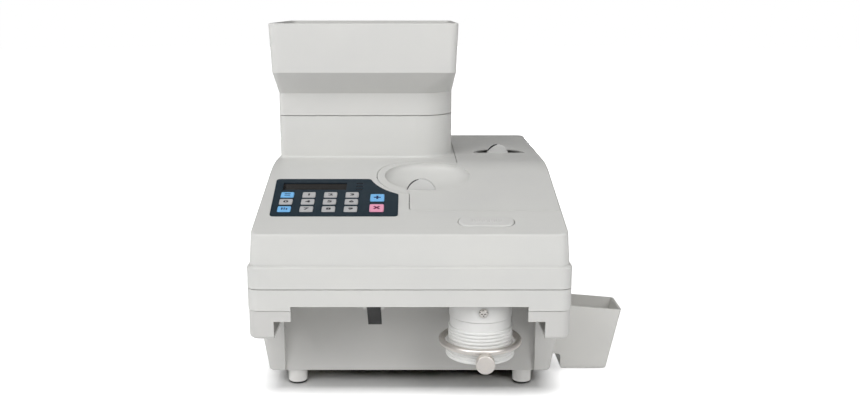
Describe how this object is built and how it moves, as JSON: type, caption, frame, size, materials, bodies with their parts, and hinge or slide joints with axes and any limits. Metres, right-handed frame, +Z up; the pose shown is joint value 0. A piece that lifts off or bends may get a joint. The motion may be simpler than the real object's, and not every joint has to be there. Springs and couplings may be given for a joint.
{
  "type": "coin counting machine",
  "caption": "Desktop coin counting machine: tall square hopper on a neck, sloping keypad and coin-size dials, hinged path lid, bag nozzle with clamp ring, and a side reject tray.",
  "frame": {"origin": "middle of the whole part's bounding box in plan, on the surface the feet stand on", "axes": "+Z up; the keypad, nozzle and sloping front face -Y, the power inlet is at +Y, and the reject tray hangs on the +X side"},
  "size_m": [0.397, 0.4096, 0.389],
  "materials": {
    "housing": "fine-textured moulded shell, warm light grey",
    "base_plastic": "fine-textured moulded shell, slightly darker grey",
    "lid_plastic": "fine-textured moulded shell, warm light grey",
    "hopper_plastic": "smooth satin moulding, light grey",
    "panel_navy": "matt dark blue-grey panel",
    "window_dark": "glossy smoked display window",
    "led_dark": "unlit status lamps",
    "board_green": "circuit board",
    "tab_grey": "moulded press tab with grip ridges",
    "dial_grey": "smooth moulded thumb wheel with a milled edge",
    "key_grey": "light grey key with a dark symbol",
    "key_blue": "pale blue key with a dark symbol",
    "key_pink": "pink key with a dark symbol",
    "nozzle_white": "smooth satin moulding, off-white",
    "steel_satin": "satin turned steel",
    "screw_steel": "plated screw steel",
    "deck_steel": "plain zinc-plated sheet",
    "disc_alu": "turned aluminium with coin wear",
    "funnel_dark": "dark grey moulding",
    "pulley_black": "black moulding",
    "rubber_black": "black rubber",
    "foot_grey": "light grey moulding on a black rubber pad",
    "motor_grey": "dark painted motor can",
    "tray_grey": "moulded tray, warm grey",
    "black_plastic": "matt black moulding"
  },
  "bodies": {
    "chassis": {"base_shell": "base_plastic", "middle_frame": "housing", "top_cover": "housing", "keypad_panel": "panel_navy", "display_window": "window_dark", "status_leds": "led_dark", "keypad_board": "board_green", "lid_hinge_pin": "screw_steel", "nozzle_collar": "nozzle_white", "nozzle_tube": "nozzle_white", "collar_screw": "screw_steel", "deck_plate": "deck_steel", "disc_bearing": "screw_steel", "drive_belt": "rubber_black", "drive_motor": "motor_grey", "coin_funnel": "funnel_dark", "coin_rail": "deck_steel", "path_belt": "rubber_black", "count_sensor": "black_plastic", "coin_chute": "funnel_dark", "reject_chute": "funnel_dark", "tray_bracket": "tray_grey", "rubber_feet": "foot_grey", "case_screws": "screw_steel", "power_supply": "deck_steel", "control_board": "board_green", "power_inlet": "black_plastic", "switch_frame": "black_plastic"},
    "lid": {"path_lid": "lid_plastic", "dial_axles": "screw_steel"},
    "diameter_wheel": {"diameter_dial": "dial_grey"},
    "thickness_wheel": {"thickness_dial": "dial_grey"},
    "guide": {"guide_rail": "disc_alu"},
    "tab": {"release_tab": "tab_grey"},
    "disc": {"feed_disc": "disc_alu", "disc_shaft": "screw_steel", "disc_pulley": "pulley_black"},
    "motor_shaft": {"motor_pulley": "pulley_black"},
    "roller_front": {"front_roller": "pulley_black"},
    "roller_rear": {"rear_roller": "pulley_black"},
    "hopper_bin": {"hopper": "hopper_plastic"},
    "tray": {"reject_tray": "tray_grey"},
    "clamp": {"clamp_ring": "steel_satin"},
    "knob": {"clamp_knob": "steel_satin"},
    "lever": {"hood_lever": "black_plastic"},
    "rocker": {"power_switch": "black_plastic"},
    "key_0": {"key_0": "key_grey"},
    "key_1": {"key_1": "key_grey"},
    "key_2": {"key_2": "key_grey"},
    "key_3": {"key_3": "key_grey"},
    "key_4": {"key_4": "key_grey"},
    "key_5": {"key_5": "key_grey"},
    "key_6": {"key_6": "key_grey"},
    "key_7": {"key_7": "key_grey"},
    "key_8": {"key_8": "key_grey"},
    "key_9": {"key_9": "key_grey"},
    "key_mode": {"key_mode": "key_blue"},
    "key_batch": {"key_batch": "key_blue"},
    "key_add": {"key_add": "key_blue"},
    "key_clear": {"key_clear": "key_pink"}
  },
  "joints": [
    {"name": "lid_hinge", "type": "hinge", "parent": "chassis", "child": "lid", "pos_m": [0.1161, 0.0782, 0.2212], "axis": [0, 1, 0], "range_deg": [0, 36]},
    {"name": "diameter_turn", "type": "hinge", "parent": "lid", "child": "diameter_wheel", "pos_m": [-0.0262, -0.0958, 0.2124], "axis": [0, 1, 0], "range_deg": [0, 150]},
    {"name": "thickness_turn", "type": "hinge", "parent": "lid", "child": "thickness_wheel", "pos_m": [0.0678, 0.0572, 0.2306], "axis": [0, 1, 0], "range_deg": [-120, 120]},
    {"name": "guide_slide", "type": "slide", "parent": "chassis", "child": "guide", "axis": [1, 0, 0], "range_m": [0, 0.01]},
    {"name": "tab_press", "type": "slide", "parent": "chassis", "child": "tab", "axis": [0, 0.2873, -0.9578], "range_m": [0, 0.0025], "stiffness_N_per_m": 600, "springref_m": -0.001},
    {"name": "disc_spin", "type": "hinge", "parent": "chassis", "child": "disc", "pos_m": [-0.0896, 0.0832, 0.2], "axis": [0, 0, 1], "continuous": true},
    {"name": "motor_spin", "type": "hinge", "parent": "chassis", "child": "motor_shaft", "pos_m": [0.0135, 0.1212, 0.18], "axis": [0, 0, 1], "continuous": true},
    {"name": "front_roller_spin", "type": "hinge", "parent": "chassis", "child": "roller_front", "pos_m": [0.0345, -0.0998, 0.204], "axis": [1, 0, 0], "continuous": true},
    {"name": "rear_roller_spin", "type": "hinge", "parent": "chassis", "child": "roller_rear", "pos_m": [0.0345, 0.0182, 0.204], "axis": [1, 0, 0], "continuous": true},
    {"name": "hopper_lift", "type": "slide", "parent": "chassis", "child": "hopper_bin", "axis": [0, 0, 1], "range_m": [0, 0.1]},
    {"name": "tray_lift", "type": "slide", "parent": "chassis", "child": "tray", "axis": [0, 0, 1], "range_m": [0, 0.045]},
    {"name": "clamp_slide", "type": "slide", "parent": "chassis", "child": "clamp", "axis": [0, 0, 1], "range_m": [-0.045, 0.01]},
    {"name": "knob_turn", "type": "hinge", "parent": "clamp", "child": "knob", "pos_m": [0.0365, -0.1968, 0.0608], "axis": [0, 1, 0], "range_deg": [-720, 0]},
    {"name": "lever_swing", "type": "hinge", "parent": "chassis", "child": "lever", "pos_m": [-0.0745, -0.1758, 0.1145], "axis": [1, 0, 0], "range_deg": [0, 30]},
    {"name": "switch_rock", "type": "hinge", "parent": "chassis", "child": "rocker", "pos_m": [-0.1165, 0.1992, 0.078], "axis": [1, 0, 0], "range_deg": [-16, 0]},
    {"name": "key_0_press", "type": "slide", "parent": "chassis", "child": "key_0", "axis": [0, 0.2873, -0.9578], "range_m": [0, 0.0007], "stiffness_N_per_m": 700, "springref_m": -0.0004},
    {"name": "key_1_press", "type": "slide", "parent": "chassis", "child": "key_1", "axis": [0, 0.2873, -0.9578], "range_m": [0, 0.0007], "stiffness_N_per_m": 700, "springref_m": -0.0004},
    {"name": "key_2_press", "type": "slide", "parent": "chassis", "child": "key_2", "axis": [0, 0.2873, -0.9578], "range_m": [0, 0.0007], "stiffness_N_per_m": 700, "springref_m": -0.0004},
    {"name": "key_3_press", "type": "slide", "parent": "chassis", "child": "key_3", "axis": [0, 0.2873, -0.9578], "range_m": [0, 0.0007], "stiffness_N_per_m": 700, "springref_m": -0.0004},
    {"name": "key_4_press", "type": "slide", "parent": "chassis", "child": "key_4", "axis": [0, 0.2873, -0.9578], "range_m": [0, 0.0007], "stiffness_N_per_m": 700, "springref_m": -0.0004},
    {"name": "key_5_press", "type": "slide", "parent": "chassis", "child": "key_5", "axis": [0, 0.2873, -0.9578], "range_m": [0, 0.0007], "stiffness_N_per_m": 700, "springref_m": -0.0004},
    {"name": "key_6_press", "type": "slide", "parent": "chassis", "child": "key_6", "axis": [0, 0.2873, -0.9578], "range_m": [0, 0.0007], "stiffness_N_per_m": 700, "springref_m": -0.0004},
    {"name": "key_7_press", "type": "slide", "parent": "chassis", "child": "key_7", "axis": [0, 0.2873, -0.9578], "range_m": [0, 0.0007], "stiffness_N_per_m": 700, "springref_m": -0.0004},
    {"name": "key_8_press", "type": "slide", "parent": "chassis", "child": "key_8", "axis": [0, 0.2873, -0.9578], "range_m": [0, 0.0007], "stiffness_N_per_m": 700, "springref_m": -0.0004},
    {"name": "key_9_press", "type": "slide", "parent": "chassis", "child": "key_9", "axis": [0, 0.2873, -0.9578], "range_m": [0, 0.0007], "stiffness_N_per_m": 700, "springref_m": -0.0004},
    {"name": "key_mode_press", "type": "slide", "parent": "chassis", "child": "key_mode", "axis": [0, 0.2873, -0.9578], "range_m": [0, 0.0007], "stiffness_N_per_m": 700, "springref_m": -0.0004},
    {"name": "key_batch_press", "type": "slide", "parent": "chassis", "child": "key_batch", "axis": [0, 0.2873, -0.9578], "range_m": [0, 0.0007], "stiffness_N_per_m": 700, "springref_m": -0.0004},
    {"name": "key_add_press", "type": "slide", "parent": "chassis", "child": "key_add", "axis": [0, 0.2873, -0.9578], "range_m": [0, 0.0007], "stiffness_N_per_m": 700, "springref_m": -0.0004},
    {"name": "key_clear_press", "type": "slide", "parent": "chassis", "child": "key_clear", "axis": [0, 0.2873, -0.9578], "range_m": [0, 0.0007], "stiffness_N_per_m": 700, "springref_m": -0.0004}
  ],
  "couplings": [
    {"joint": "guide_slide", "follows": "diameter_turn", "m_per_rad": 0.0038},
    {"joint": "motor_spin", "follows": "disc_spin", "ratio": 3},
    {"joint": "front_roller_spin", "follows": "disc_spin", "ratio": 4},
    {"joint": "rear_roller_spin", "follows": "disc_spin", "ratio": 4}
  ]
}
